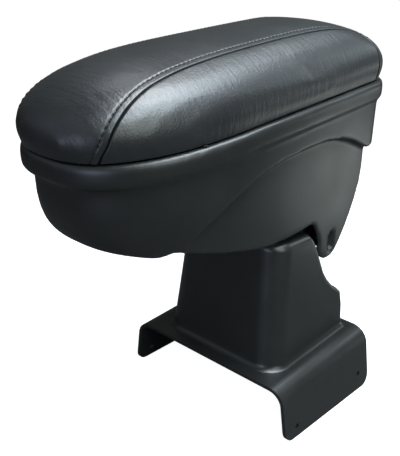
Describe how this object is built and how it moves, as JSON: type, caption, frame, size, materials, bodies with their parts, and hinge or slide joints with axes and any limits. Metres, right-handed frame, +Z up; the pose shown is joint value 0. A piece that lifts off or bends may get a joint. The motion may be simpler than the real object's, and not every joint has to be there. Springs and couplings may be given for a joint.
{
  "type": "car centre armrest",
  "caption": "Car centre armrest: padded leatherette lid on a black storage tub that folds up on a pedestal straddling the console",
  "frame": {"origin": "middle of the saddle's underside face that sits on top of the console", "axes": "+X towards the back end with the hinge, +Y across, +Z up"},
  "size_m": [0.3, 0.1612, 0.2949],
  "materials": {
    "black_moulding": "satin grained polypropylene",
    "plated_steel": "zinc plated",
    "friction_fibre": "pressed fibre",
    "black_rubber": "matt",
    "nylon": "plain natural nylon",
    "felt": "pressed felt",
    "pan_plastic": "plain moulded",
    "foam": "open cell foam",
    "leatherette": "fine grain with a satin sheen",
    "liner_plastic": "fine grained"
  },
  "bodies": {
    "base": {"console_base": "black_moulding", "hinge_bracket": "plated_steel", "bracket_screws": "plated_steel", "pivot_bolt": "plated_steel", "pivot_nut": "plated_steel", "friction_washers": "friction_fibre", "disc_springs": "plated_steel", "rest_bumpers": "black_rubber"},
    "armrest": {"tub": "black_moulding", "pivot_frame": "plated_steel", "frame_screws": "plated_steel", "pivot_bushes": "nylon", "tub_mat": "felt", "lid_bumpers": "black_rubber", "lid_hinge_pin": "plated_steel", "catch_keeper": "plated_steel"},
    "lid": {"lid_pan": "pan_plastic", "foam_core": "foam", "cover": "leatherette", "lid_liner": "liner_plastic", "liner_screws": "plated_steel", "lid_catch": "liner_plastic"}
  },
  "joints": [
    {"name": "armrest_fold", "type": "hinge", "parent": "base", "child": "armrest", "pos_m": [0.035, 0, 0.083], "axis": [0, 1, 0], "range_deg": [0, 90]},
    {"name": "lid_open", "type": "hinge", "parent": "armrest", "child": "lid", "pos_m": [0.1, 0, 0.198], "axis": [0, 1, 0], "range_deg": [0, 80]}
  ]
}
